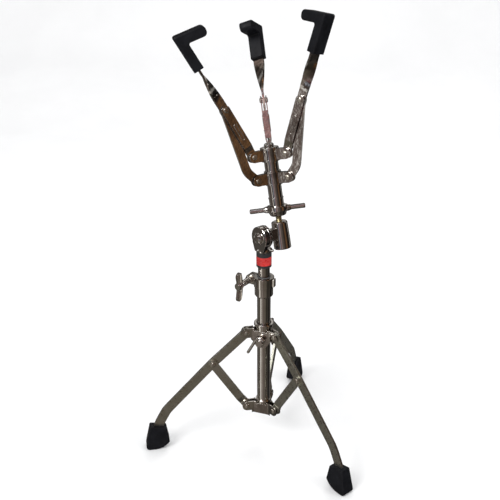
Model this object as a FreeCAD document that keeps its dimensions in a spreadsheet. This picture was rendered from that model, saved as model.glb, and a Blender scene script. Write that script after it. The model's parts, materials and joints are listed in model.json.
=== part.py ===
import FreeCAD, Part
import Sketcher
import math
import os

from FreeCAD import Placement, Rotation, Vector

# Snare drum stand. Millimetres, +Z up, origin on the floor under the mast.
# Every leg, brace, arm and strut is drawn in its own radial plane (X outward, Z up)
# and then turned to its azimuth.

UP = Vector(0, 0, 1)
ACROSS = Vector(0, 1, 0)
SIDES = ("left", "right", "rear")

SIZES = (
    # tubes on the mast axis
    ("tube_od", 22.2),
    ("tube_id", 19.9),
    ("tube_low", 54.0),
    ("tube_high", 288.5),
    ("mast_od", 19.05),
    ("mast_id", 16.6),
    ("mast_low", 140.0),
    ("mast_high", 349.0),
    ("sleeve_od", 24.4),
    ("sleeve_low", 324.7),
    ("sleeve_high", 351.0),
    ("band_low", 329.0),
    ("band_high", 343.0),
    ("bushing_od", 22.0),
    ("bushing_low", 289.0),
    ("bushing_high", 307.5),
    # tripod linkage
    ("leg_azimuth", 191.0),
    ("leg_width", 16.0),
    ("leg_gauge", 4.0),
    ("brace_width", 14.0),
    ("brace_gauge", 4.0),
    ("brace_side", 4.3),
    ("pivot_out", 28.7),
    ("hub_height", 207.0),
    ("spider_height", 64.5),
    ("knee_out", 85.7),
    ("knee_height", 154.5),
    ("foot_toe", 203.5),
    ("foot_heel", 163.8),
    ("foot_height", 44.0),
    ("foot_width", 23.6),
    ("hub_bore", 24.4),
    ("hub_lock_azimuth", 251.0),
    ("hub_lock_height", 194.0),
    # height clamp
    ("clamp_low", 272.5),
    ("clamp_high", 306.5),
    ("clamp_azimuth", 147.5),
    ("clamp_bolt_out", 22.9),
    ("clamp_bolt_height", 297.5),
    # sheet plates and rivets
    ("plate_gauge", 2.0),
    ("clevis_gap", 6.4),
    ("ear_radius", 8.5),
    ("rivet_thin", 5.0),
    ("rivet_thick", 6.0),
    ("fit", 0.05),
    ("loose_brace", 1.7),
    ("loose_strut", 1.35),
    # tilter
    ("tilt_height", 375.0),
    ("tilt_azimuth", 220.0),
    ("tilt_angle", 12.5),
    ("disc_radius", 18.0),
    ("joint_face", 2.5),
    ("basket_offset", 34.0),
    # basket linkage, heights above the tilter pivot
    ("arm_azimuth", 210.0),
    ("rod_od", 10.0),
    ("holder_low", 32.5),
    ("holder_high", 77.0),
    ("nut_low", 86.4),
    ("nut_high", 103.0),
    ("nut_bar", 96.8),
    ("nut_turn", -2.5),
    ("arm_pivot_out", 28.5),
    ("arm_pivot_height", 86.8),
    ("strut_pivot_out", 29.5),
    ("strut_pivot_height", 123.7),
    ("elbow_out", 66.0),
    ("elbow_height", 201.6),
    ("grip_out", 98.1),
    ("grip_height", 266.0),
    ("arm_width", 14.0),
    ("arm_gauge", 3.5),
    ("blade_width", 17.4),
    ("strut_width", 14.0),
    ("strut_outer", 10.0),
    ("strut_sheet", 1.6),
    ("grip_thickness", 15.6),
    ("grip_width", 22.0),
    ("grip_stem", 58.7),
    ("grip_hook", 49.3),
    ("grip_turn", 100.3),
    ("grip_roll", -20.0),
    ("twist_start", 14.0),
    ("twist_end", 62.0),
)
# Parts on the basket axis are drawn from a datum this far below the tilter pivot.
DATUM = 60.0

doc = FreeCAD.newDocument("snare_stand")
sheet = doc.addObject("Spreadsheet::Sheet", "sizes")
for row, (alias, value) in enumerate(SIZES, start=1):
    sheet.set("A%d" % row, alias)
    sheet.set("B%d" % row, str(value))
    sheet.setAlias("B%d" % row, alias)
doc.recompute()

PARTS = []


def dim(alias):
    """Value of one driving dimension."""
    return float(sheet.get(alias))


def at(alias, times=1.0, plus=0.0):
    """A coordinate tied to the sheet: its value and the expression that keeps it there."""
    return dim(alias) * times + plus, "sizes.%s * %s + %s" % (alias, times, plus)


def fixed(value):
    """A coordinate that no other part depends on."""
    return value, None


# --- frames -----------------------------------------------------------------

TILT_AXIS = Rotation(UP, dim("tilt_azimuth")).multVec(Vector(1, 0, 0))
PIVOT = Vector(0, 0, dim("tilt_height"))
HERE = Placement()
TILTER_FRAME = Placement(PIVOT, Rotation(UP, dim("tilt_azimuth")))
HEAD_FRAME = Placement(PIVOT, Rotation(TILT_AXIS, dim("tilt_angle")))
HEAD_FRAME = HEAD_FRAME.multiply(Placement(Vector(), Rotation(UP, dim("tilt_azimuth"))))
BASKET_FRAME = Placement(PIVOT, Rotation(TILT_AXIS, dim("tilt_angle")))
BASKET_FRAME = BASKET_FRAME.multiply(Placement(TILT_AXIS * -dim("basket_offset"), Rotation()))
DATUM_FRAME = BASKET_FRAME.multiply(Placement(Vector(0, 0, -DATUM), Rotation()))


def turned_to(azimuth, frame=HERE):
    return frame.multiply(Placement(Vector(), Rotation(UP, azimuth)))


def leg_frame(index):
    return turned_to(dim("leg_azimuth") + 120.0 * index)


def arm_frame(index):
    return turned_to(dim("arm_azimuth") + 120.0 * index, BASKET_FRAME)


# --- document objects -------------------------------------------------------


def formed(label, shape, placement=HERE):
    """A sub-part built directly as a shape."""
    part = doc.addObject("Part::Feature", label)
    part.Label = label
    part.Shape = shape
    part.Placement = placement.multiply(shape.Placement)
    PARTS.append(part)
    return part


def turned(label, profile, placement=HERE):
    """A turned sub-part: a closed profile (radius, height) revolved about Z."""
    body = doc.addObject("PartDesign::Body", label)
    body.Label = label
    sketch = body.newObject("Sketcher::SketchObject", label + "_profile")
    plane = [item for item in body.Origin.OriginFeatures if "XZ_Plane" in item.Name][0]
    sketch.AttachmentSupport = [(plane, "")]
    sketch.MapMode = "FlatFace"
    corners = [Vector(radius[0], height[0], 0) for radius, height in profile]
    for start, end in zip(corners, corners[1:] + corners[:1]):
        sketch.addGeometry(Part.LineSegment(start, end), False)
    count = len(corners)
    for index in range(count):
        sketch.addConstraint(Sketcher.Constraint("Coincident", index, 2, (index + 1) % count, 1))
    for index, (radius, height) in enumerate(profile):
        if radius[0] == 0.0:
            sketch.addConstraint(Sketcher.Constraint("PointOnObject", index, 1, -2))
        else:
            row = sketch.addConstraint(Sketcher.Constraint("DistanceX", -1, 1, index, 1, radius[0]))
            if radius[1]:
                sketch.setExpression("Constraints[%d]" % row, radius[1])
        row = sketch.addConstraint(Sketcher.Constraint("DistanceY", -1, 1, index, 1, height[0]))
        if height[1]:
            sketch.setExpression("Constraints[%d]" % row, height[1])
    spin = body.newObject("PartDesign::Revolution", label + "_turn")
    spin.Profile = sketch
    spin.ReferenceAxis = (sketch, ["V_Axis"])
    spin.Angle = 360.0
    body.Tip = spin
    body.Placement = placement
    PARTS.append(body)
    return body


# --- shape helpers ----------------------------------------------------------


def upright(x, z):
    return Vector(x, 0, z)


def flat(x, y):
    return Vector(x, y, 0)


def unit(start, end):
    length = math.hypot(end[0] - start[0], end[1] - start[1])
    return (end[0] - start[0]) / length, (end[1] - start[1]) / length


def ribbon(points, width, bends, lift=upright, round_start=False, round_end=False):
    """Face of a strip of constant width along a centreline with rounded bends."""
    half = width / 2.0
    runs = [unit(a, b) for a, b in zip(points, points[1:])]
    sides = {1: [], -1: []}
    begin = points[0]
    for index, along in enumerate(runs):
        last = index == len(runs) - 1
        end = points[index + 1]
        if not last:
            after = runs[index + 1]
            turn = math.atan2(
                along[0] * after[1] - along[1] * after[0],
                along[0] * after[0] + along[1] * after[1],
            )
            tangent = abs(math.tan(turn / 2.0)) * bends[index]
            corner = end
            end = (corner[0] - along[0] * tangent, corner[1] - along[1] * tangent)
        for side in sides:
            shift = (-along[1] * half * side, along[0] * half * side)
            sides[side].append(
                Part.LineSegment(
                    lift(begin[0] + shift[0], begin[1] + shift[1]),
                    lift(end[0] + shift[0], end[1] + shift[1]),
                ).toShape()
            )
        if last:
            continue
        begin = (corner[0] + after[0] * tangent, corner[1] + after[1] * tangent)
        way = 1 if turn > 0 else -1
        centre = (end[0] - along[1] * bends[index] * way, end[1] + along[0] * bends[index] * way)
        for side in sides:
            radius = bends[index] - way * half * side
            arc = []
            for angle in (0.0, turn / 2.0, turn):
                out = (along[1] * way, -along[0] * way)
                cosine, sine = math.cos(angle), math.sin(angle)
                arc.append(
                    lift(
                        centre[0] + radius * (out[0] * cosine - out[1] * sine),
                        centre[1] + radius * (out[0] * sine + out[1] * cosine),
                    )
                )
            sides[side].append(Part.Arc(*arc).toShape())
    edges = sides[1] + sides[-1]
    for point, along, way, rounded in (
        (points[0], runs[0], -1, round_start),
        (points[-1], runs[-1], 1, round_end),
    ):
        left = lift(point[0] - along[1] * half, point[1] + along[0] * half)
        right = lift(point[0] + along[1] * half, point[1] - along[0] * half)
        tip = lift(point[0] + along[0] * half * way, point[1] + along[1] * half * way)
        if rounded:
            edges.append(Part.Arc(left, tip, right).toShape())
        else:
            edges.append(Part.LineSegment(left, right).toShape())
    return Part.Face(Part.Wire(Part.__sortEdges__(edges)))


def polygon(points, lift=upright):
    corners = [lift(*point) for point in points]
    return Part.Face(Part.makePolygon(corners + corners[:1]))


def slab(face, low, high, along=ACROSS):
    """A face pushed out from low to high along a direction."""
    face = face.copy()
    face.translate(along * low)
    return face.extrude(along * (high - low))


def lathe(profile):
    """Solid of revolution about Z from (radius, height) corners."""
    return polygon(profile).revolve(Vector(), UP, 360)


def rod(radius, start, end):
    way = end - start
    return Part.makeCylinder(radius, way.Length, start, way)


def moved(shape, placement):
    shape = shape.copy()
    shape.Placement = placement.multiply(shape.Placement)
    return shape


def aimed(start, end):
    """Placement taking +X to the way from one (r, z) point to another."""
    along = unit(start, end)
    lean = -math.degrees(math.atan2(along[1], along[0]))
    return Placement(upright(*start), Rotation(ACROSS, lean))


def span(start, end):
    return math.hypot(end[0] - start[0], end[1] - start[1])


def softened(shape, radius, wanted):
    """Rounds the edges for which wanted(edge) holds."""
    edges = [edge for edge in shape.Edges if wanted(edge)]
    return shape.makeFillet(radius, edges)


def across(edge):
    """True for a straight edge square to the radial plane."""
    if len(edge.Vertexes) != 2:
        return False
    way = edge.Vertexes[1].Point - edge.Vertexes[0].Point
    return abs(way.x) < 1e-4 and abs(way.z) < 1e-4 and abs(way.y) > 1.0


def rivet(shank, low, high, head, dome):
    """Rivet along Y with two domed heads outside low and high."""
    profile = [(0, low - dome), (head * 0.55, low - dome), (head * 0.88, low - dome * 0.6),
               (head, low), (shank, low), (shank, high), (head, high),
               (head * 0.88, high + dome * 0.6), (head * 0.55, high + dome), (0, high + dome)]
    shape = lathe(profile)
    shape.rotate(Vector(), Vector(1, 0, 0), -90)
    return shape


# --- shared pivots ----------------------------------------------------------

HUB_PIVOT = (dim("pivot_out"), dim("hub_height"))
SPIDER_PIVOT = (dim("pivot_out"), dim("spider_height"))
KNEE = (dim("knee_out"), dim("knee_height"))
ARM_PIVOT = (dim("arm_pivot_out"), dim("arm_pivot_height"))
STRUT_PIVOT = (dim("strut_pivot_out"), dim("strut_pivot_height"))
ELBOW = (dim("elbow_out"), dim("elbow_height"))
GRIP_FOOT = (dim("grip_out"), dim("grip_height"))
TAB_IN = dim("clevis_gap") / 2.0
TAB_OUT = TAB_IN + dim("plate_gauge")
THIN = dim("rivet_thin") / 2.0
THICK = dim("rivet_thick") / 2.0
FIT = dim("fit")


def pin_hole(radius, point, reach=12.0):
    return rod(radius, Vector(point[0], -reach, point[1]), Vector(point[0], reach, point[1]))


def sector_plate(pivot, flat_out, middle, ear_from):
    """One formed plate between two arms of a collar, its sector centred on +X."""
    gauge = dim("plate_gauge")
    side = TAB_IN + gauge / 2.0
    reach = pivot[0] + dim("ear_radius") + 1.0
    slope = (math.cos(math.radians(60)), math.sin(math.radians(60)))
    run = (flat_out + gauge / 2.0 - slope[1] * side) / slope[0]
    corner = slope[1] * run - slope[0] * side
    tip = (slope[0] * reach + slope[1] * side, slope[1] * reach - slope[0] * side)
    line = [(tip[0], -tip[1]), (flat_out + gauge / 2.0, -corner),
            (flat_out + gauge / 2.0, corner), (tip[0], tip[1])]
    strip = slab(ribbon(line, gauge, (2.6, 2.6), flat), 0.0, 260.0, UP)
    return trimmed_plate(strip, pivot, middle, ear_from)


def band_plate(pivot, radius, middle, ear_from):
    """One formed plate that hugs a round collar between two straight ears."""
    gauge = dim("plate_gauge")
    side = TAB_IN + gauge / 2.0
    reach = pivot[0] + dim("ear_radius") + 1.0
    start = math.sqrt(radius ** 2 - TAB_IN ** 2)
    half = 60.0 - math.degrees(math.asin(side / (radius + gauge / 2.0)))
    ring = Part.makeCylinder(radius + gauge, 260, Vector(), UP, 2.0 * half)
    ring = moved(ring, turned_to(-half)).cut(rod(radius, Vector(0, 0, -1), Vector(0, 0, 261)))
    ears = []
    for way in (-1, 1):
        ear = Part.makeBox(reach - start, gauge, 260, Vector(start, -way * side - gauge / 2.0, 0))
        ears.append(moved(ear, turned_to(60.0 * way)))
    strip = ring.multiFuse(ears).removeSplitter()
    outer = radius + gauge
    strip = softened(strip, 1.6, lambda edge: abs(edge.BoundBox.ZLength - 260) < 1e-3
                     and edge.BoundBox.DiagonalLength < 260.01
                     and abs(math.hypot(edge.CenterOfMass.x, edge.CenterOfMass.y) - outer) < 1e-3
                     and abs(abs(math.degrees(math.atan2(edge.CenterOfMass.y, edge.CenterOfMass.x)))
                             - half) > 1.0)
    return trimmed_plate(strip, pivot, middle, ear_from)


def trimmed_plate(strip, pivot, middle, ear_from):
    """Cuts a bent strip to its front outline and rounds and drills its two ears."""
    keep = slab(polygon(middle, lambda y, z: Vector(0, y, z)), 0.0, 30.0, Vector(1, 0, 0))
    ear = Part.makeCylinder(dim("ear_radius"), 24, Vector(pivot[0], -12, pivot[1]), ACROSS)
    size = dim("ear_radius")
    web = Part.makeBox(pivot[0] - ear_from, 24, size * 2, Vector(ear_from, -12, pivot[1] - size))
    ear = ear.fuse(web)
    hole = pin_hole(THIN, pivot)
    keep = keep.multiFuse([moved(ear, turned_to(60)), moved(ear, turned_to(-60))])
    plate = strip.common(keep.removeSplitter())
    plate = plate.cut([moved(hole, turned_to(60)), moved(hole, turned_to(-60))])
    return plate.removeSplitter()


def plate_set(plate, first):
    """Three formed plates, the sectors starting half way past the first azimuth."""
    turns = [first + 60.0 + 120.0 * index for index in range(3)]
    return [moved(plate, turned_to(turn)) for turn in turns]


def rivet_set(pivot, first):
    pin = rivet(THIN, -TAB_OUT, TAB_OUT, 4.2, 1.8)
    pin.translate(upright(*pivot))
    return [moved(pin, turned_to(first + 120.0 * index)) for index in range(3)]


def middle_block(half, low, high):
    return [(-half, low), (half, low), (half, high), (-half, high)]


# --- fixed base -------------------------------------------------------------


def build_base():
    outer = at("tube_od", 0.5)
    inner = at("tube_id", 0.5)
    low = at("tube_low")
    high = at("tube_high")
    turned("base_tube", [(outer, low), (outer, high), (inner, high), (inner, low)])
    turned("tube_end_plug", [
        (fixed(0.0), at("tube_low", 1, -3.0)),
        (at("tube_od", 0.5, -1.2), at("tube_low", 1, -3.0)),
        (outer, at("tube_low", 1, -1.8)),
        (outer, low),
        (inner, low),
        (inner, at("tube_low", 1, 10.0)),
        (fixed(0.0), at("tube_low", 1, 10.0)),
    ])
    turned("spider_collar", [
        (outer, fixed(52.0)),
        (at("tube_od", 0.5, 0.2), fixed(52.0)),
        (at("tube_od", 0.5, 0.2), fixed(70.0)),
        (at("tube_od", 0.5, 2.4), fixed(70.0)),
        (at("tube_od", 0.5, 2.4), fixed(75.2)),
        (at("tube_od", 0.5, 1.6), fixed(76.0)),
        (outer, fixed(76.0)),
    ])
    first = dim("leg_azimuth")
    flats = dim("tube_od") / 2.0 + 0.2
    plate = sector_plate(SPIDER_PIVOT, flats, middle_block(16.0, 51.5, 70.0), 14.0)
    plates = plate_set(plate, first)
    formed("spider_plates", Part.makeCompound(plates))
    formed("spider_rivets", Part.makeCompound(rivet_set(SPIDER_PIVOT, first)))


def build_clamp():
    low, high = dim("clamp_low"), dim("clamp_high")
    step = dim("tube_high")
    out, level = dim("clamp_bolt_out"), dim("clamp_bolt_height")
    body = lathe([(0, low), (13.2, low), (15, low + 2.4), (15, step), (16, step + 0.6),
                  (16, high - 2.2), (16.6, high - 2.2), (16.6, high - 0.5), (16.1, high),
                  (0, high)])
    ears = Part.makeCylinder(8.0, 13, Vector(out, -6.5, level), ACROSS)
    ears = ears.fuse(Part.makeBox(out - 10, 13, 16, Vector(10, -6.5, level - 8)))
    lug = Part.makeBox(8, 7, 13, Vector(11, -3.5, level - 6))
    lug.rotate(Vector(), UP, 190)
    body = body.multiFuse([ears, lug])
    bore = lathe([(0, low - 1), (dim("tube_od") / 2.0, low - 1), (dim("tube_od") / 2.0, step),
                  (dim("bushing_od") / 2.0 + FIT, step), (dim("bushing_od") / 2.0 + FIT, high + 1),
                  (0, high + 1)])
    slot = Part.makeBox(30, 3.0, 30, Vector(9, -1.5, step))
    hole = rod(THICK, Vector(out, -9, level), Vector(out, 9, level))
    body = body.cut([bore, slot, hole]).removeSplitter()
    place = turned_to(dim("clamp_azimuth"))
    formed("height_clamp", body, place)
    axis = place.multiply(Placement(Vector(out, 0, level), Rotation(Vector(1, 0, 0), -90)))
    formed("clamp_bolt", lathe([(0, -10.4), (3.8, -10.4), (6.0, -9.4), (6.2, -7.0), (5.8, -6.5),
                                (THICK, -6.5), (THICK, 30.5), (THICK - 0.6, 31.2),
                                (0, 31.2)]), axis)
    formed("clamp_washer", lathe([(THICK, 6.5), (7.5, 6.5), (7.5, 7.8), (THICK, 7.8)]), axis)
    barrel = lathe([(0, 8.2), (6.4, 8.2), (6.4, 9.6), (5.4, 11.0), (4.6, 31.0), (6.2, 33.0),
                    (6.4, 40.0), (4.8, 42.0), (0, 42.0)])
    wings = ribbon([(-17.6, 37.4), (-8.0, 35.4), (9.0, 35.4), (19.6, 37.4)], 12.6,
                   (40.0, 40.0), lambda y, z: Vector(-2.0, y, z), True, True)
    wings = wings.extrude(Vector(4.0, 0, 0))
    bore = lathe([(0, 7), (THICK + FIT, 7), (THICK + FIT, 34), (0, 34)])
    formed("clamp_wing_nut", barrel.fuse(wings).cut(bore).removeSplitter(), axis)


# --- tripod -----------------------------------------------------------------


def build_hub():
    bore = dim("hub_bore") / 2.0
    first = dim("leg_azimuth")
    turned("hub_collar", [
        (at("hub_bore", 0.5), at("hub_height", 1, 5.0)),
        (at("hub_bore", 0.5, 2.3), at("hub_height", 1, 5.0)),
        (at("hub_bore", 0.5, 2.3), at("hub_height", 1, 12.5)),
        (at("hub_bore", 0.5, 4.0), at("hub_height", 1, 12.5)),
        (at("hub_bore", 0.5, 4.0), at("hub_height", 1, 15.9)),
        (at("hub_bore", 0.5, 3.4), at("hub_height", 1, 16.5)),
        (at("hub_bore", 0.5), at("hub_height", 1, 16.5)),
    ])
    skirt = [(-7.0, 182.0), (7.0, 182.0), (17.0, 196.0), (17.0, 212.0), (-17.0, 212.0),
             (-17.0, 196.0)]
    plates = plate_set(sector_plate(HUB_PIVOT, bore + 0.2, skirt, 17.0), first)
    lock = turned_to(dim("hub_lock_azimuth"))
    lock = lock.multiply(Placement(Vector(0, 0, dim("hub_lock_height")), Rotation(ACROSS, 90)))
    hole = moved(Part.makeCylinder(4.0, 30), lock)
    plates = [plate.cut(hole) for plate in plates]
    formed("hub_plates", Part.makeCompound(plates))
    formed("hub_rivets", Part.makeCompound(rivet_set(HUB_PIVOT, first)))
    face = bore + 0.2 + dim("plate_gauge")
    formed("hub_lock_nut", lathe([(4.0, face), (7.2, face), (7.2, face + 1.8), (6.6, face + 2.4),
                                  (4.0, face + 2.4)]), lock)
    screw = lathe([(0, 12.2), (3.2, 12.2), (3.95, 13.0), (3.95, 17.1), (6.0, 17.1), (6.0, 22.0),
                   (5.0, 23.0), (0, 23.0)])
    sweep = [math.radians(angle) for angle in (40.0, 96.5, 153.0)]
    arc = Part.Arc(*[Vector(-8.2 * math.sin(a), 8.2 * math.cos(a), 0) for a in sweep])
    start = Vector(-8.2 * math.sin(sweep[2]), 8.2 * math.cos(sweep[2]), 0)
    tail = Vector(20.9, -20.3, 0)
    path = Part.Wire([arc.toShape(), Part.LineSegment(start, tail).toShape()])
    first_point = Vector(-8.2 * math.sin(sweep[0]), 8.2 * math.cos(sweep[0]), 0)
    heading = Vector(-math.cos(sweep[0]), -math.sin(sweep[0]), 0)
    ring = Part.Wire([Part.Circle(first_point, heading, 2.5).toShape()])
    lever = path.makePipeShell([ring], True, False)
    tip = Part.makeSphere(2.5, tail)
    butt = Part.makeSphere(2.5, first_point)
    lever = lever.multiFuse([tip, butt])
    lever.translate(Vector(0, 0, 19.8))
    formed("hub_lock_screw", screw.fuse(lever).removeSplitter(), lock)


LEG_LINE = [HUB_PIVOT, KNEE, (166.0, 71.0), (178.9, 47.0), (183.5, 31.0)]
LEG_BENDS = (300.0, 50.0, 40.0)


def leg_bar():
    bar = ribbon(LEG_LINE, dim("leg_width"), LEG_BENDS, upright, True, False)
    half = dim("leg_gauge") / 2.0
    bar = slab(bar, -half, half)
    return bar.cut([pin_hole(THIN + FIT, HUB_PIVOT), pin_hole(THICK, KNEE)])


def foot_block(bar):
    """Rubber boot over the end of a leg: flat sole, rounded toe and heel, tapered sides."""
    toe, heel = dim("foot_toe"), dim("foot_heel")
    top = dim("foot_height")
    sole = [Part.LineSegment(upright(toe, 7.0), upright(toe - 7.8, top)),
            Part.LineSegment(upright(toe - 7.8, top), upright(heel + 4.3, top - 5.0)),
            Part.LineSegment(upright(heel + 4.3, top - 5.0), upright(heel, 12.5)),
            Part.Arc(upright(heel, 12.5), upright(heel + 11.2, 3.4), upright(188.0, 0)),
            Part.LineSegment(upright(188.0, 0), upright(199.0, 0)),
            Part.Arc(upright(199.0, 0), upright(toe - 0.9, 2.3), upright(toe, 7.0))]
    face = Part.Face(Part.Wire(Part.__sortEdges__([edge.toShape() for edge in sole])))
    wedge = slab(face, -14, 14)
    wide, narrow = dim("foot_width") / 2.0, dim("foot_width") / 2.0 - 3.2
    taper = polygon([(-wide, -1), (wide, -1), (narrow, top + 1), (-narrow, top + 1)],
                    lambda y, z: Vector(150, y, z))
    wedge = wedge.common(taper.extrude(Vector(60, 0, 0))).removeSplitter()
    wedge = softened(wedge, 2.0, lambda edge: edge.BoundBox.ZMax > 0.1)
    return wedge.cut(bar).removeSplitter()


def brace_bar(side, loose):
    """Flat brace: in line at the spider, cranked to one side of the leg at the knee."""
    length = span(SPIDER_PIVOT, KNEE)
    width = dim("brace_width")
    shift = side * dim("brace_side")
    line = [(-width, 0), (11.0, 0), (23.0, shift), (length + width, shift)]
    strip = ribbon(line, dim("brace_gauge"), (8.0, 8.0), flat)
    strip = slab(strip, -width / 2.0, width / 2.0, UP)
    outline = slab(ribbon([(0, 0), (length, 0)], width, (), upright, True, True), -12, 12)
    bar = strip.common(outline)
    holes = [pin_hole(loose, (0, 0)), pin_hole(THICK + FIT, (length, 0))]
    return moved(bar.cut(holes), aimed(SPIDER_PIVOT, KNEE))


def build_tripod():
    bar = leg_bar()
    foot = foot_block(bar)
    near = dim("leg_gauge") / 2.0
    far = dim("brace_side") + dim("brace_gauge") / 2.0
    for index, name in enumerate(SIDES):
        side = -1 if name == "right" else 1
        play = FIT if name == "left" else dim("loose_brace")
        frame = leg_frame(index)
        formed("leg_" + name, bar, frame)
        formed("foot_" + name, foot, frame)
        formed("brace_" + name, brace_bar(side, THIN + play), frame)
        pin = rivet(THICK, -near, far, 4.6, 2.0)
        if side < 0:
            pin.rotate(Vector(), UP, 180)
        pin.translate(upright(*KNEE))
        formed("knee_rivet_" + name, pin, frame)


# --- mast and tilter --------------------------------------------------------


def build_mast():
    turned("height_bushing", [
        (at("mast_od", 0.5, 0.05), at("bushing_low")),
        (at("bushing_od", 0.5), at("bushing_low")),
        (at("bushing_od", 0.5), at("bushing_high", 1, -0.8)),
        (at("bushing_od", 0.5, -0.6), at("bushing_high")),
        (at("mast_od", 0.5, 0.05), at("bushing_high")),
    ])
    turned("upper_tube", [
        (at("mast_od", 0.5), at("mast_low")),
        (at("mast_od", 0.5), at("mast_high")),
        (at("mast_id", 0.5), at("mast_high")),
        (at("mast_id", 0.5), at("mast_low")),
    ])
    turned("label_sleeve", [
        (at("mast_od", 0.5), at("sleeve_low")),
        (at("sleeve_od", 0.5, -0.6), at("sleeve_low")),
        (at("sleeve_od", 0.5), at("sleeve_low", 1, 0.6)),
        (at("sleeve_od", 0.5), at("band_low")),
        (at("sleeve_od", 0.5, -0.6), at("band_low")),
        (at("sleeve_od", 0.5, -0.6), at("band_high")),
        (at("sleeve_od", 0.5), at("band_high")),
        (at("sleeve_od", 0.5), at("sleeve_high", 1, -1.0)),
        (at("sleeve_od", 0.5, -1.0), at("sleeve_high")),
        (at("mast_od", 0.5), at("sleeve_high")),
    ])
    turned("label_band", [
        (at("sleeve_od", 0.5, -0.6), at("band_low")),
        (at("sleeve_od", 0.5), at("band_low")),
        (at("sleeve_od", 0.5), at("band_high")),
        (at("sleeve_od", 0.5, -0.6), at("band_high")),
    ])


def ratchet_disc(side, gauge):
    """Toothed disc about X: its teeth meet the other disc at the joint face."""
    radius = dim("disc_radius")
    back = gauge + 0.95
    disc = lathe([(0, 0.95), (radius - 0.4, 0.95), (radius, 1.35), (radius, back - 1.0),
                  (radius - 1.0, back), (0, back)])
    tooth = Part.Face(Part.makePolygon([Vector(9.0, -0.72, 1.1), Vector(9.0, 0, 0.2),
                                        Vector(9.0, 0.72, 1.1), Vector(9.0, -0.72, 1.1)]))
    tooth = tooth.extrude(Vector(radius - 9.6, 0, 0))
    teeth = [moved(tooth, turned_to(10.0 * index)) for index in range(36)]
    disc = disc.multiFuse(teeth)
    disc.rotate(Vector(), ACROSS, 90 * side)
    disc.translate(Vector(dim("joint_face"), 0, 0))
    return disc


def rim_notches(low, high):
    """Round notches along the rim of a disc, as cutters."""
    notch = rod(1.5, Vector(low, 0, dim("disc_radius") + 0.4), Vector(high, 0, dim("disc_radius") + 0.4))
    cutters = []
    for index in range(18):
        cutter = notch.copy()
        cutter.rotate(Vector(), Vector(1, 0, 0), 20.0 * index)
        cutters.append(cutter)
    return cutters


def build_tilter():
    foot = dim("sleeve_high") - dim("tilt_height")
    face = dim("joint_face")
    front = face + 8.4
    neck = polygon([(-9.6, foot), (9.6, foot), (15.6, -9.0), (-15.6, -9.0)],
                   lambda y, z: Vector(face + 1.2, y, z)).extrude(Vector(7.2, 0, 0))
    stub = lathe([(0, foot), (12.6, foot), (13.0, foot + 0.6), (13.0, foot + 3.0),
                  (10.2, foot + 5.4), (0, foot + 5.4)])
    plug = rod(dim("mast_id") / 2.0, Vector(0, 0, foot - 14), Vector(0, 0, foot))
    crown = rod(dim("mast_od") / 2.0, Vector(0, 0, dim("mast_high") - dim("tilt_height")),
                Vector(0, 0, foot))
    screw = rod(2.2, Vector(0, 0, foot + 2.2), Vector(15.4, 0, foot + 2.2))
    screw.rotate(Vector(), UP, 120)
    base = ratchet_disc(1, front - face - 0.95).multiFuse([neck, stub, plug, crown, screw])
    base = base.cut(rod(4.1, Vector(-1, 0, 0), Vector(14, 0, 0))).removeSplitter()
    formed("tilter_base", base, TILTER_FRAME)

    off = dim("basket_offset")
    low, high = dim("holder_low") - DATUM, dim("holder_high") - DATUM
    holder = lathe([(0, low), (12.9, low), (13.9, low + 1.0), (13.8, -10.0), (12.8, high - 2.0),
                    (11.6, high - 0.4), (10.4, high), (0, high)])
    holder.translate(Vector(-off, 0, 0))
    back = face - 6.6
    block = ribbon([(-off, -1.0), (back + 1.0, -1.0)], 19.0, (), upright)
    block = slab(block, -6.6, 6.6)
    middle = (back + 1.0 - off) / 2.0
    block = softened(block, 3.0, lambda edge: abs(edge.CenterOfMass.x - middle) < 1.0
                     and abs(edge.CenterOfMass.y) > 5.0 and abs(edge.CenterOfMass.z + 1.0) > 5.0)
    disc = ratchet_disc(-1, 5.65).cut(rim_notches(back - 1.0, face - 1.5))
    head = disc.multiFuse([block, holder])
    rod_hole = rod(dim("rod_od") / 2.0, Vector(-off, 0, low + 3.5), Vector(-off, 0, high + 1))
    bolt_hole = rod(4.0, Vector(-19.0, 0, 0), Vector(4, 0, 0))
    pin = rod(2.2, Vector(-off - 14.2, 0, -8.0), Vector(-off - 5.0, 0, -8.0))
    head = head.cut([rod_hole, bolt_hole, pin]).removeSplitter()
    formed("tilter_head", head, HEAD_FRAME)
    bolt = lathe([(0, -18.0), (3.3, -18.0), (3.95, -17.2), (3.95, front + 0.3), (10.0, front + 0.3),
                  (9.8, front + 1.5), (8.6, front + 3.6), (6.4, front + 5.2), (3.4, front + 6.1),
                  (0, front + 6.3)])
    bolt.rotate(Vector(), ACROSS, 90)
    formed("tilter_bolt", bolt, HEAD_FRAME)
    formed("rod_set_screw", pin, HEAD_FRAME)


# --- basket -----------------------------------------------------------------


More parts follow.
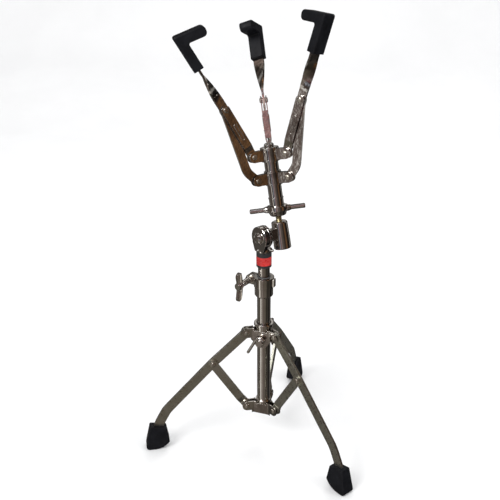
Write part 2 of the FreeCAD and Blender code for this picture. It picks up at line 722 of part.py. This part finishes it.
def build_basket_rod():
    shaft = at("rod_od", 0.5)
    turned("basket_rod", [
        (fixed(0.0), at("holder_low", 1, 3.5)),
        (shaft, at("holder_low", 1, 3.5)),
        (shaft, at("strut_pivot_height", 1, 71.3)),
        (fixed(0.0), at("strut_pivot_height", 1, 71.3)),
    ], DATUM_FRAME)
    turned("rod_cap", [
        (fixed(0.0), at("strut_pivot_height", 1, 71.3)),
        (at("rod_od", 0.5, 2.6), at("strut_pivot_height", 1, 71.3)),
        (at("rod_od", 0.5, 2.8), at("strut_pivot_height", 1, 75.0)),
        (at("rod_od", 0.5, 0.8), at("strut_pivot_height", 1, 77.2)),
        (fixed(0.0), at("strut_pivot_height", 1, 78.0)),
    ], DATUM_FRAME)
    level = "strut_pivot_height"
    turned("upper_collar", [
        (shaft, at(level, 1, 66.0)),
        (at("rod_od", 0.5, 7.1), at(level, 1, 66.0)),
        (at("rod_od", 0.5, 7.1), at(level, 1, 49.3)),
        (at("rod_od", 0.5, 9.7), at(level, 1, 49.3)),
        (at("rod_od", 0.5, 9.7), at(level, 1, 51.8)),
        (at("rod_od", 0.5, 7.7), at(level, 1, 51.8)),
        (at("rod_od", 0.5, 7.7), at(level, 1, 68.2)),
        (at("rod_od", 0.5, 9.7), at(level, 1, 68.2)),
        (at("rod_od", 0.5, 9.7), at(level, 1, 70.4)),
        (at("rod_od", 0.5, 8.8), at(level, 1, 71.3)),
        (shaft, at(level, 1, 71.3)),
    ], DATUM_FRAME)
    middle = middle_block(17.0, STRUT_PIVOT[1] - 8.2, STRUT_PIVOT[1] + 8.2)
    plates = plate_set(band_plate(STRUT_PIVOT, 12.7, middle, 15.2), dim("arm_azimuth"))
    formed("upper_collar_plates", Part.makeCompound(plates), BASKET_FRAME)
    rivets = rivet_set(STRUT_PIVOT, dim("arm_azimuth"))
    formed("upper_collar_rivets", Part.makeCompound(rivets), BASKET_FRAME)


def build_lower_sleeve():
    level = "arm_pivot_height"
    turned("lower_sleeve", [
        (fixed(6.2), at("nut_high", 1, 0.3)),
        (fixed(11.5), at("nut_high", 1, 0.3)),
        (fixed(11.5), at("nut_high", 1, 11.0)),
        (fixed(12.1), at("nut_high", 1, 11.0)),
        (fixed(12.1), at("nut_high", 1, 12.6)),
        (fixed(11.1), at("nut_high", 1, 12.6)),
        (fixed(11.1), at(level, 1, 49.0)),
        (fixed(13.4), at(level, 1, 49.0)),
        (fixed(13.4), at(level, 1, 51.4)),
        (fixed(11.3), at(level, 1, 51.4)),
        (fixed(11.3), at(level, 1, 68.6)),
        (fixed(13.4), at(level, 1, 68.6)),
        (fixed(13.4), at(level, 1, 71.0)),
        (fixed(11.1), at(level, 1, 71.0)),
        (fixed(11.1), at(level, 1, 91.0)),
        (fixed(9.4), at(level, 1, 91.0)),
        (fixed(9.4), at("nut_high", 1, 5.0)),
        (fixed(6.2), at("nut_high", 1, 5.0)),
    ], DATUM_FRAME)
    middle = middle_block(16.0, ARM_PIVOT[1] - 8.6, ARM_PIVOT[1] + 8.6)
    plates = plate_set(band_plate(ARM_PIVOT, 11.5, middle, 13.9), dim("arm_azimuth"))
    formed("lower_collar_plates", Part.makeCompound(plates), BASKET_FRAME)
    rivets = rivet_set(ARM_PIVOT, dim("arm_azimuth"))
    formed("lower_collar_rivets", Part.makeCompound(rivets), BASKET_FRAME)


def build_basket_nut():
    low, high = dim("nut_low") - DATUM, dim("nut_high") - DATUM
    bar_level = dim("nut_bar") - DATUM
    nut = lathe([(6.2, low), (11.6, low), (12.9, low + 1.2), (13.6, low + 3.2), (16.0, low + 7.6),
                 (16.6, low + 9.2), (16.6, high - 1.6), (15.8, high - 0.5), (12.6, high),
                 (6.2, high)])
    place = BASKET_FRAME.multiply(Placement(Vector(), Rotation(UP, dim("nut_turn"))))
    bars = []
    for way in (-1, 1):
        profile = [(0, 12.0), (5.6, 12.0), (5.6, 16.4), (4.9, 19.6), (3.9, 21.6), (3.9, 42.6),
                   (3.4, 43.6), (2.4, 44.0), (0, 44.0)]
        bar = lathe(profile)
        bar.rotate(Vector(), ACROSS, 90 * way)
        bar.translate(Vector(0, 0, bar_level))
        bars.append(bar)
    formed("basket_nut", nut.cut(bars).removeSplitter(), place)
    formed("basket_nut_bar", Part.makeCompound(bars), place)


ARM_LINE = [ARM_PIVOT, (44.0, 103.5), ELBOW, GRIP_FOOT]


def twist_piece(start, end, turns):
    """Flat bar twisted from the radial plane to the plane of the grip's back."""
    narrow, gauge = dim("arm_width") / 2.0, dim("arm_gauge") / 2.0
    growth = dim("blade_width") / 2.0 - narrow
    along = unit(start, end)
    lean = Rotation(ACROSS, math.degrees(math.atan2(along[0], along[1])))
    wires = []
    for step in range(turns + 1):
        part = step / float(turns)
        centre = upright(start[0] + (end[0] - start[0]) * part, start[1] + (end[1] - start[1]) * part)
        place = Placement(centre, lean.multiply(Rotation(UP, (90.0 + dim("grip_roll")) * part)))
        width = narrow + growth * part
        corners = [Vector(width, gauge, 0), Vector(-width, gauge, 0),
                   Vector(-width, -gauge, 0), Vector(width, -gauge, 0)]
        corners = [place.multVec(corner) for corner in corners]
        wires.append(Part.makePolygon(corners + corners[:1]))
    return Part.makeLoft(wires, True, True)


def along_arm(distance):
    """Point of the straight upper part of the arm, measured from the elbow."""
    way = unit(ELBOW, GRIP_FOOT)
    return ELBOW[0] + way[0] * distance, ELBOW[1] + way[1] * distance


def rolled(shape):
    """Turns a shape drawn square to the radial plane to the set of the grip."""
    shape.rotate(upright(*ELBOW), upright(*unit(ELBOW, GRIP_FOOT)), dim("grip_roll"))
    return shape


def arm_bar(open_hole):
    width, gauge = dim("arm_width"), dim("arm_gauge")
    begin, stop = along_arm(dim("twist_start")), along_arm(dim("twist_end"))
    tip = along_arm(span(ELBOW, GRIP_FOOT) + 42.0)
    line = [ARM_PIVOT, (44.0, 103.5), ELBOW, begin]
    lower = ribbon(line, width, (26.0, 60.0), upright, True, False)
    lower = slab(lower, -gauge / 2.0, gauge / 2.0)
    blade = dim("blade_width") / 2.0
    upper = rolled(slab(ribbon([stop, tip], gauge, ()), -blade, blade))
    bar = lower.multiFuse([twist_piece(begin, stop, 12), upper])
    return bar.cut([pin_hole(THIN + FIT, ARM_PIVOT), pin_hole(open_hole, ELBOW)]), upper


def grip_block(tongue):
    """Moulded L of rubber over the end of an arm, drawn from its foot."""
    way = unit(ELBOW, GRIP_FOOT)
    half = dim("grip_thickness") / 2.0
    turn = math.radians(dim("grip_turn"))
    inward = (way[0] * math.cos(turn) - way[1] * math.sin(turn),
              way[0] * math.sin(turn) + way[1] * math.cos(turn))
    out = (way[1], -way[0])
    hook_out = (inward[1], -inward[0])
    foot = GRIP_FOOT
    outer = (foot[0] + out[0] * half + way[0] * dim("grip_stem"),
             foot[1] + out[1] * half + way[1] * dim("grip_stem"))
    end = (outer[0] + inward[0] * dim("grip_hook"), outer[1] + inward[1] * dim("grip_hook"))
    end_in = (end[0] - hook_out[0] * half * 2, end[1] - hook_out[1] * half * 2)
    reach = math.tan(turn / 2.0) * half * 2
    inner = (outer[0] - out[0] * half * 2 - way[0] * reach,
             outer[1] - out[1] * half * 2 - way[1] * reach)
    points = [(foot[0] + out[0] * half, foot[1] + out[1] * half), outer, end, end_in, inner,
              (foot[0] - out[0] * half, foot[1] - out[1] * half)]
    wide = dim("grip_width") / 2.0
    block = slab(polygon(points), -wide, wide)
    for corner, radius in ((outer, 3.6), (inner, 3.0), (end, 6.5), (end_in, 6.5)):
        block = softened(block, radius, lambda edge, c=corner: across(edge) and math.hypot(
            edge.Vertexes[0].Point.x - c[0], edge.Vertexes[0].Point.z - c[1]) < 0.5)
    block = softened(block, 2.2, lambda edge: abs(abs(edge.CenterOfMass.y) - wide) < 0.01
                     and span((edge.CenterOfMass.x, edge.CenterOfMass.z), foot) > 1.5)
    return rolled(block).cut(tongue).removeSplitter()


def strut_channel(pivot_hole):
    """Channel open outward: flanges either side of the arm, pinched to fit the clevis."""
    length = span(STRUT_PIVOT, ELBOW)
    width, sheet_gauge = dim("strut_width"), dim("strut_sheet")
    wide = (dim("strut_outer") - sheet_gauge) / 2.0
    pinched = 1.4
    outline = slab(ribbon([(0, 0), (length, 0)], width, (), upright, True, True), -12, 12)
    flanges = []
    for way in (-1, 1):
        line = [(-width, pinched * way), (11.0, pinched * way), (21.0, wide * way),
                (length + width, wide * way)]
        flange = slab(ribbon(line, sheet_gauge, (6.0, 6.0), flat), -width / 2.0, width / 2.0, UP)
        flanges.append(flange.common(outline))
    half = width / 2.0
    web = Part.makeBox(length - 20.0 - 20.0, wide * 2.0, sheet_gauge,
                       Vector(20.0, -wide, half - sheet_gauge))
    shape = flanges[0].multiFuse([flanges[1], web])
    holes = [pin_hole(pivot_hole, (0, 0)), pin_hole(THICK, (length, 0))]
    shape = shape.cut(holes).removeSplitter()
    return moved(shape, aimed(STRUT_PIVOT, ELBOW))


def elbow_pin():
    """Rivet through the channel and arm, shouldered to keep the arm central."""
    outer = dim("strut_outer") / 2.0
    inner = outer - dim("strut_sheet")
    shoulder = dim("arm_gauge") / 2.0 + 0.3
    pin = rivet(THICK, -outer, outer, 4.4, 1.8)
    for low, high in ((-inner, -shoulder), (shoulder, inner)):
        ring = lathe([(0, low), (4.8, low), (4.8, high), (0, high)])
        ring.rotate(Vector(), Vector(1, 0, 0), -90)
        pin = pin.fuse(ring)
    pin.translate(upright(*ELBOW))
    return pin.removeSplitter()


def build_arms():
    bar, tongue = arm_bar(THICK + FIT)
    grip = grip_block(tongue)
    pin = elbow_pin()
    for index, name in enumerate(SIDES):
        frame = arm_frame(index)
        play = FIT if name == "left" else dim("loose_strut")
        formed("arm_" + name, bar, frame)
        formed("grip_" + name, grip, frame)
        formed("strut_" + name, strut_channel(THIN + play), frame)
        formed("elbow_rivet_" + name, pin, frame)


# --- build and export -------------------------------------------------------


def export():
    doc.recompute()
    os.makedirs("parts", exist_ok=True)
    for part in PARTS:
        state = [word for word in part.State if word in ("Invalid", "Error")]
        shape = part.Shape
        if state or shape.isNull() or not shape.isValid() or not shape.Solids:
            raise RuntimeError("bad sub-part: %s %s" % (part.Label, state))
    for part in PARTS:
        part.Shape.exportStep("parts/%s.step" % part.Label)


build_base()
build_clamp()
build_hub()
build_tripod()
build_mast()
build_tilter()
build_basket_rod()
build_lower_sleeve()
build_basket_nut()
build_arms()
export()
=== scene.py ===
import json
import math

import bmesh
import bpy
from mathutils import Euler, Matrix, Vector


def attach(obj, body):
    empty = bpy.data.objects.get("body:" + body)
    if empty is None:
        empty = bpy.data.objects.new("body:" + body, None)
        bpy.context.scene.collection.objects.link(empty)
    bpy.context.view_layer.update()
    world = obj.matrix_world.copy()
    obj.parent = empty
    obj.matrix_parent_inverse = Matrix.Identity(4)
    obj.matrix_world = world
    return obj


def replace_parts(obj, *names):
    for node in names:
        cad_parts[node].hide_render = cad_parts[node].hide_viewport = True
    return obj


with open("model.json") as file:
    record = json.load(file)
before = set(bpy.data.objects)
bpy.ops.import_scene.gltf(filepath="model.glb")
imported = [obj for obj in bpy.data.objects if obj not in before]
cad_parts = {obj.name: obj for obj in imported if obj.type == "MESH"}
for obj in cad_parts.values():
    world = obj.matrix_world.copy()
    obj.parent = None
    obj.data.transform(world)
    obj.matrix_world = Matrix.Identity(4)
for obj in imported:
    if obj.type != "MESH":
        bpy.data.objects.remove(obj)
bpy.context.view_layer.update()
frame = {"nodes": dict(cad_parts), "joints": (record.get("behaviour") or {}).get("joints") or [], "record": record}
nodes = frame["nodes"]
joints = {joint["name"]: joint for joint in frame["joints"]}


# --- materials --------------------------------------------------------------


def fill_ramp(made, stops):
    """Give a colour ramp its stops, each a position and a colour."""
    elements = made.color_ramp.elements
    while len(elements) < len(stops):
        elements.new(0.5)
    for element, (position, colour) in zip(elements, stops):
        element.position = position
        element.color = (*colour, 1.0)


# The middle part of a noise's values, which is spread over the range of a roughness.
NOISE_LOW, NOISE_HIGH = 0.35, 0.65
# Radii over which edges catch the light, in metres.
SHARP_EDGE, SOFT_EDGE = 0.0005, 0.0012
# How often a finish changes, in repeats to the metre.
METAL_CLOUDS, METAL_WEAR = 22.0, 160.0
RUBBER_CLOUDS, RUBBER_WEAR, RUBBER_PITS = 45.0, 120.0, 900.0
PLASTIC_CLOUDS, PLASTIC_WEAR, PLASTIC_GRAIN = 90.0, 200.0, 700.0


class Graph:
    """A material's node tree with short calls for the nodes used here."""

    def __init__(self, name):
        self.material = bpy.data.materials.new(name)
        self.material.use_nodes = True
        self.tree = self.material.node_tree
        self.shader = self.tree.nodes["Principled BSDF"]
        self.where = self.node("ShaderNodeTexCoord").outputs["Object"]

    def node(self, kind, **values):
        made = self.tree.nodes.new(kind)
        for key, value in values.items():
            setattr(made, key, value)
        return made

    def link(self, source, target):
        self.tree.links.new(source, target)

    def noise(self, scale, detail=4.0, rough=0.6):
        """Cloudy noise over the object, with scale repeats to the metre."""
        made = self.node("ShaderNodeTexNoise")
        made.inputs["Scale"].default_value = scale
        made.inputs["Detail"].default_value = detail
        made.inputs["Roughness"].default_value = rough
        self.link(self.where, made.inputs["Vector"])
        return made.outputs["Fac"]

    def ramp(self, source, stops):
        """Colours picked by a value."""
        made = self.node("ShaderNodeValToRGB")
        fill_ramp(made, stops)
        self.link(source, made.inputs["Fac"])
        return made.outputs["Color"]

    def spread(self, source, low, high):
        """A noise's middle values spread from low to high."""
        made = self.node("ShaderNodeMapRange")
        made.inputs["From Min"].default_value = NOISE_LOW
        made.inputs["From Max"].default_value = NOISE_HIGH
        made.inputs["To Min"].default_value = low
        made.inputs["To Max"].default_value = high
        self.link(source, made.inputs["Value"])
        return made.outputs["Result"]

    def relief(self, source, strength, distance, edge=SHARP_EDGE):
        """Fine relief over edges that are rounded by a fraction of a millimetre."""
        rounded = self.node("ShaderNodeBevel", samples=4)
        rounded.inputs["Radius"].default_value = edge
        made = self.node("ShaderNodeBump")
        made.inputs["Strength"].default_value = strength
        made.inputs["Distance"].default_value = distance
        self.link(source, made.inputs["Height"])
        self.link(rounded.outputs["Normal"], made.inputs["Normal"])
        self.link(made.outputs["Normal"], self.shader.inputs["Normal"])


def metal(name, light, dark, smooth, dull, grain, depth, waves=0.25):
    """Plated metal with a cloudy colour, a drifting polish and a ripple.

    light and dark are the plating's colours, smooth and dull its roughness, grain the ripple's
    scale, depth its height in metres and waves its strength.
    """
    graph = Graph(name)
    graph.shader.inputs["Metallic"].default_value = 1.0
    cloud = graph.noise(METAL_CLOUDS, 5.0)
    graph.link(graph.ramp(cloud, [(0.36, dark), (0.62, light)]), graph.shader.inputs["Base Color"])
    wear = graph.noise(METAL_WEAR, 6.0, 0.7)
    graph.link(graph.spread(wear, smooth, dull), graph.shader.inputs["Roughness"])
    graph.relief(graph.noise(grain, 3.0), waves, depth)
    return graph.material


def rubber(name):
    """Moulded black rubber with a dusty bloom and fine pitting."""
    clean, dusty = (0.0030, 0.0035, 0.0055), (0.0085, 0.0095, 0.0135)
    graph = Graph(name)
    graph.shader.inputs["Specular IOR Level"].default_value = 0.3
    cloud = graph.noise(RUBBER_CLOUDS, 6.0, 0.7)
    graph.link(graph.ramp(cloud, [(0.35, clean), (0.7, dusty)]), graph.shader.inputs["Base Color"])
    wear = graph.noise(RUBBER_WEAR, 5.0)
    graph.link(graph.spread(wear, 0.42, 0.66), graph.shader.inputs["Roughness"])
    graph.relief(graph.noise(RUBBER_PITS, 3.0), 0.35, 0.0003, SOFT_EDGE)
    return graph.material


def plastic(name, colour, darker, gloss):
    """Moulded or painted plastic with slight mottling and a worn sheen."""
    graph = Graph(name)
    cloud = graph.noise(PLASTIC_CLOUDS)
    graph.link(graph.ramp(cloud, [(0.35, darker), (0.65, colour)]), graph.shader.inputs["Base Color"])
    wear = graph.noise(PLASTIC_WEAR)
    graph.link(graph.spread(wear, gloss, gloss + 0.18), graph.shader.inputs["Roughness"])
    graph.relief(graph.noise(PLASTIC_GRAIN), 0.2, 0.0002)
    return graph.material


# One material for each material slot of the record.
MATERIALS = {
    "chrome": metal("chrome", (0.80, 0.78, 0.75), (0.62, 0.59, 0.55), 0.03, 0.10, 60.0, 0.0003),
    "satin_nickel": metal("satin_nickel", (0.80, 0.79, 0.70), (0.64, 0.63, 0.54), 0.24, 0.40, 90.0,
                          0.0004),
    "steel": metal("steel", (0.78, 0.74, 0.66), (0.56, 0.52, 0.44), 0.22, 0.40, 120.0, 0.0003),
    "zinc_yellow": metal("zinc_yellow", (0.72, 0.62, 0.34), (0.46, 0.38, 0.20), 0.22, 0.40, 140.0,
                         0.0003),
    "black_rubber": rubber("black_rubber"),
    "black_plastic": plastic("black_plastic", (0.03, 0.03, 0.032), (0.018, 0.018, 0.02), 0.32),
    "nylon": plastic("nylon", (0.10, 0.10, 0.105), (0.06, 0.06, 0.065), 0.38),
    "red_band": plastic("red_band", (0.60, 0.035, 0.03), (0.42, 0.02, 0.02), 0.22),
}
# Chrome on sheet that was pressed or twisted, which is less flat than the turned pieces.
PRESSED = metal("chrome_pressed", (0.82, 0.79, 0.75), (0.34, 0.31, 0.28), 0.04, 0.12, 75.0, 0.0010, 0.5)
PRESSED_NODES = ("arm_", "strut_", "hub_plates", "spider_plates", "upper_collar_plates",
                 "lower_collar_plates")
for entry in frame["record"]["subparts"]:
    node = nodes[entry["node"]]
    node.data.materials.clear()
    wavy = entry["node"].startswith(PRESSED_NODES)
    node.data.materials.append(PRESSED if wavy else MATERIALS[entry["material_slot"]])


# --- detail that the solids leave out ---------------------------------------


def skin(name, rings, body, slot_name, looped=False):
    """Closed surface through rings of points, capped at its ends or joined into a loop."""
    count = len(rings[0])
    mesh = bpy.data.meshes.new(name)
    shape = bmesh.new()
    rows = [[shape.verts.new(point) for point in ring] for ring in rings]
    pairs = list(zip(rows, rows[1:] + rows[:1])) if looped else list(zip(rows, rows[1:]))
    for row, after in pairs:
        for k in range(count):
            following = (k + 1) % count
            shape.faces.new((row[k], row[following], after[following], after[k])).smooth = True
    if not looped:
        shape.faces.new(rows[0][::-1])
        shape.faces.new(rows[-1])
    bmesh.ops.recalc_face_normals(shape, faces=shape.faces)
    shape.to_mesh(mesh)
    shape.free()
    mesh.materials.append(MATERIALS[slot_name])
    piece = bpy.data.objects.new(name, mesh)
    bpy.context.collection.objects.link(piece)
    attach(piece, body)
    return piece


def crossways(along):
    """Two unit vectors square to a direction and to each other."""
    steep = abs(along.z) >= 0.9
    first = along.cross(Vector((1, 0, 0)) if steep else Vector((0, 0, 1))).normalized()
    return first, along.cross(first).normalized()


def node_points(name):
    """Places of a CAD node's vertices."""
    return [vertex.co for vertex in nodes[name].data.vertices]


THREAD_PITCH = 0.003
THREAD_DEPTH = 0.0009
THREAD_SIDES = 28
THREAD_RINGS_PER_TURN = 6


def make_thread():
    """Screw thread over the whole length of the basket rod."""
    axis = joints["basket_nut_turn"]
    along = Vector(axis["axis"]).normalized()
    origin = Vector(axis["pos_m"])
    first, second = crossways(along)
    points = node_points("basket_rod")
    heights = [(point - origin).dot(along) for point in points]
    low, high = min(heights), max(heights)
    radius = max(((point - origin) - along * (point - origin).dot(along)).length for point in points)
    steps = int((high - low) / THREAD_PITCH * THREAD_RINGS_PER_TURN)
    rings = []
    for step in range(steps + 1):
        height = low + (high - low) * step / steps
        ring = []
        for k in range(THREAD_SIDES):
            phase = (height / THREAD_PITCH - k / THREAD_SIDES) % 1.0
            size = radius - THREAD_DEPTH * abs(2.0 * phase - 1.0)
            angle = 2.0 * math.pi * k / THREAD_SIDES
            ring.append(origin + along * height
                        + (first * math.cos(angle) + second * math.sin(angle)) * size)
        rings.append(ring)
    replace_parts(skin("rod_thread", rings, "head", "zinc_yellow"), "basket_rod")


BEAD_RADIUS = 0.0007
BEAD_LENGTH, BEAD_WIDTH = 0.028, 0.0046
BEAD_STEPS, BEAD_SIDES = 40, 8
BEAD_PLACE = 0.42  # share of the strut's length from its elbow to the bead's middle
STRUT_END = 0.93  # points beyond this share of the length show which way the strut runs


def make_beads(side, joint):
    """Pressed oblong bead on both flanges of a strut."""
    elbow = Vector(joint["pos_m"])
    normal = Vector(joint["axis"]).normalized()
    offsets = [point - elbow for point in node_points("strut_" + side)]
    furthest = max(offset.length for offset in offsets)
    far = [offset for offset in offsets if offset.length > STRUT_END * furthest]
    reach = sum(far, Vector()) / len(far)
    reach -= normal * reach.dot(normal)
    along = reach.normalized()
    across = normal.cross(along).normalized()
    middle = elbow + along * furthest * BEAD_PLACE
    out = max(abs(offset.dot(normal)) for offset in offsets)
    straight = (BEAD_LENGTH - BEAD_WIDTH) / 2.0
    for label, way in (("a", 1), ("b", -1)):
        rings = []
        for step in range(BEAD_STEPS):
            angle = 2.0 * math.pi * step / BEAD_STEPS
            heading = along * math.cos(angle) + across * math.sin(angle)
            end = along * (straight if math.cos(angle) >= 0.0 else -straight)
            centre = middle + end + heading * BEAD_WIDTH / 2.0 + normal * out * way
            rings.append([centre + (heading * math.cos(turn) + normal * math.sin(turn)) * BEAD_RADIUS
                          for turn in (2.0 * math.pi * k / BEAD_SIDES for k in range(BEAD_SIDES))])
        skin("strut_bead_" + side + "_" + label, rings, "strut_" + side, "chrome", looped=True)


make_thread()
make_beads("left", joints["arm_left_elbow"])
make_beads("right", joints["strut_right_elbow"])
make_beads("rear", joints["strut_rear_elbow"])


# --- stage, light and camera ------------------------------------------------


def make_stage():
    """Pale floor that curves up into a backdrop well behind the stand."""
    rows = [(-3.0, 0.0), (2.0, 0.0), (2.6, 0.12), (3.0, 0.5), (3.2, 1.2), (3.2, 4.0)]
    half_width = 5.0
    shade, paper = (0.86, 0.86, 0.86), (0.90, 0.90, 0.90)
    vertices = [(x, y, z) for y, z in rows for x in (-half_width, half_width)]
    faces = [(2 * i, 2 * i + 1, 2 * i + 3, 2 * i + 2) for i in range(len(rows) - 1)]
    mesh = bpy.data.meshes.new("floor")
    mesh.from_pydata(vertices, [], faces)
    floor = bpy.data.objects.new("floor", mesh)
    bpy.context.collection.objects.link(floor)
    for polygon in mesh.polygons:
        polygon.use_smooth = True
    graph = Graph("floor_paper")
    graph.link(graph.ramp(graph.noise(3.0), [(0.3, shade), (0.7, paper)]),
               graph.shader.inputs["Base Color"])
    graph.shader.inputs["Roughness"].default_value = 0.9
    mesh.materials.append(graph.material)
    floor.visible_glossy = False


def area_light(name, place, target, size, power):
    """Soft rectangular lamp that faces a target."""
    light = bpy.data.lights.new(name, "AREA")
    light.shape = "RECTANGLE"
    light.size, light.size_y = size
    light.energy = power
    lamp = bpy.data.objects.new(name, light)
    lamp.location = place
    lamp.rotation_euler = (Vector(target) - Vector(place)).to_track_quat("-Z", "Y").to_euler()
    bpy.context.collection.objects.link(lamp)
    return lamp


# What the plating mirrors. The first two lists give the room's colour by share of a turn from
# -X through -Y, as steep rays from the lower part of the stand and level rays from the basket
# meet it. The third multiplies it by height, from straight down to straight up.
LOW_ROOM = [(0.00, (0.10, 0.09, 0.08)), (0.05, (0.10, 0.09, 0.07)), (0.08, (0.16, 0.15, 0.13)),
            (0.10, (1.05, 1.00, 0.94)), (0.12, (0.90, 0.86, 0.80)), (0.135, (0.22, 0.19, 0.17)),
            (0.17, (0.16, 0.14, 0.12)), (0.19, (0.33, 0.29, 0.26)), (0.21, (0.14, 0.11, 0.10)),
            (0.25, (0.13, 0.11, 0.09)), (0.32, (0.12, 0.105, 0.085)), (0.36, (0.035, 0.03, 0.025)),
            (0.42, (0.04, 0.035, 0.028)), (0.46, (0.055, 0.05, 0.045)), (0.50, (0.006, 0.005, 0.005)),
            (0.56, (0.005, 0.004, 0.004)), (0.585, (0.24, 0.23, 0.22)), (0.61, (0.004, 0.003, 0.003)),
            (0.70, (0.11, 0.10, 0.09)), (0.73, (0.45, 0.43, 0.40)), (0.76, (0.06, 0.055, 0.05)),
            (0.88, (0.09, 0.08, 0.07)), (0.91, (0.24, 0.22, 0.20)), (0.95, (0.05, 0.045, 0.04)),
            (1.00, (0.10, 0.09, 0.08))]
HIGH_ROOM = [(0.00, (0.12, 0.10, 0.09)), (0.03, (0.03, 0.025, 0.02)), (0.06, (0.10, 0.075, 0.065)),
             (0.09, (0.16, 0.13, 0.12)), (0.11, (0.85, 0.84, 0.82)), (0.125, (0.10, 0.08, 0.07)),
             (0.16, (0.04, 0.032, 0.03)), (0.185, (0.36, 0.38, 0.44)), (0.20, (0.10, 0.09, 0.10)),
             (0.22, (0.20, 0.09, 0.09)), (0.24, (0.30, 0.26, 0.25)), (0.26, (0.13, 0.10, 0.09)),
             (0.32, (0.08, 0.065, 0.055)), (0.36, (0.03, 0.022, 0.018)), (0.40, (0.08, 0.045, 0.025)),
             (0.42, (0.20, 0.10, 0.042)), (0.45, (0.035, 0.024, 0.018)), (0.50, (0.010, 0.008, 0.007)),
             (0.56, (0.02, 0.018, 0.016)), (0.585, (0.50, 0.49, 0.47)), (0.61, (0.02, 0.017, 0.015)),
             (0.70, (0.10, 0.09, 0.08)), (0.74, (0.60, 0.58, 0.56)), (0.77, (0.04, 0.035, 0.03)),
             (0.88, (0.05, 0.04, 0.035)), (0.92, (0.40, 0.39, 0.38)), (0.95, (0.03, 0.025, 0.02)),
             (1.00, (0.12, 0.10, 0.09))]
ROOM_HEIGHT = [(0.00, (0.5, 0.5, 0.5)), (0.20, (1.0, 1.0, 1.0)), (0.50, (1.0, 1.0, 1.0)),
               (0.60, (0.7, 0.7, 0.7)), (0.72, (0.6, 0.6, 0.6)), (0.80, (2.4, 2.4, 2.4)),
               (0.92, (1.8, 1.8, 1.8)), (1.00, (1.2, 1.2, 1.2))]


def make_world():
    """Pale studio air for light and view, and a darker room that only mirrors see."""
    world = bpy.data.worlds.new("studio")
    world.use_nodes = True
    tree = world.node_tree

    def ramp(source, stops):
        made = tree.nodes.new("ShaderNodeValToRGB")
        fill_ramp(made, stops)
        tree.links.new(source, made.inputs["Fac"])
        return made.outputs["Color"]

    def share(source, low, high):
        made = tree.nodes.new("ShaderNodeMapRange")
        made.inputs["From Min"].default_value = low
        made.inputs["From Max"].default_value = high
        tree.links.new(source, made.inputs["Value"])
        return made.outputs["Result"]

    def mix(kind, factor, first, second):
        made = tree.nodes.new("ShaderNodeMix")
        made.data_type = "RGBA"
        made.blend_type = kind
        if isinstance(factor, float):
            made.inputs["Factor"].default_value = factor
        else:
            tree.links.new(factor, made.inputs["Factor"])
        tree.links.new(first, made.inputs["A"])
        tree.links.new(second, made.inputs["B"])
        return made.outputs["Result"]

    # Mirrored rays go from the low room to the high one as they point less steeply down.
    room_change_low, room_change_high = -0.42, -0.26
    air = tree.nodes["Background"]
    air.inputs["Color"].default_value = (0.95, 0.955, 0.965, 1.0)
    air.inputs["Strength"].default_value = 0.9
    parts = tree.nodes.new("ShaderNodeSeparateXYZ")
    tree.links.new(tree.nodes.new("ShaderNodeTexCoord").outputs["Generated"], parts.inputs[0])
    turn = tree.nodes.new("ShaderNodeMath")
    turn.operation = "ARCTAN2"
    tree.links.new(parts.outputs["Y"], turn.inputs[0])
    tree.links.new(parts.outputs["X"], turn.inputs[1])
    around = share(turn.outputs[0], -math.pi, math.pi)
    height = parts.outputs["Z"]
    change = share(height, room_change_low, room_change_high)
    walls = mix("MIX", change, ramp(around, LOW_ROOM), ramp(around, HIGH_ROOM))
    room = tree.nodes.new("ShaderNodeBackground")
    lit = mix("MULTIPLY", 1.0, walls, ramp(share(height, -1.0, 1.0), ROOM_HEIGHT))
    tree.links.new(lit, room.inputs["Color"])
    rays = tree.nodes.new("ShaderNodeLightPath")
    pick = tree.nodes.new("ShaderNodeMixShader")
    tree.links.new(rays.outputs["Is Glossy Ray"], pick.inputs["Fac"])
    tree.links.new(air.outputs[0], pick.inputs[1])
    tree.links.new(room.outputs[0], pick.inputs[2])
    tree.links.new(pick.outputs[0], tree.nodes["World Output"].inputs["Surface"])
    bpy.context.scene.world = world


def make_lights():
    """Key light at the front left, with a fill and a back light that no mirror shows."""
    area_light("key", (-1.6, -1.8, 2.4), (0, 0, 0.35), (1.2, 1.2), 40.0)
    fill = area_light("fill", (2.2, -1.0, 1.5), (0, 0, 0.35), (1.0, 1.6), 14.0)
    back = area_light("back", (0.5, 2.0, 2.4), (0, 0, 0.4), (1.6, 0.8), 18.0)
    for lamp in (fill, back):
        lamp.visible_glossy = False


# The viewpoint: the eye is a little above the grips and looks down at the mast.
EYE = (0.0, -1.1453, 0.8683)
PITCH, YAW, ROLL = math.radians(24.26), math.radians(-1.10), math.radians(-0.29)
SENSOR_WIDTH = 36.0
LENS_OVER_FRAME = 1.6


def make_camera():
    """Camera at the photograph's viewing angle."""
    data = bpy.data.cameras.new("camera")
    data.sensor_width = SENSOR_WIDTH
    data.sensor_fit = "HORIZONTAL"
    data.lens = LENS_OVER_FRAME * data.sensor_width
    camera = bpy.data.objects.new("camera", data)
    camera.location = EYE
    turn = Euler((math.pi / 2 - PITCH, 0.0, -YAW)).to_matrix()
    camera.rotation_euler = (turn @ Euler((0.0, 0.0, ROLL)).to_matrix()).to_euler()
    bpy.context.collection.objects.link(camera)
    bpy.context.scene.camera = camera


make_stage()
make_world()
make_lights()
make_camera()
bpy.context.scene.view_settings.view_transform = "Standard"
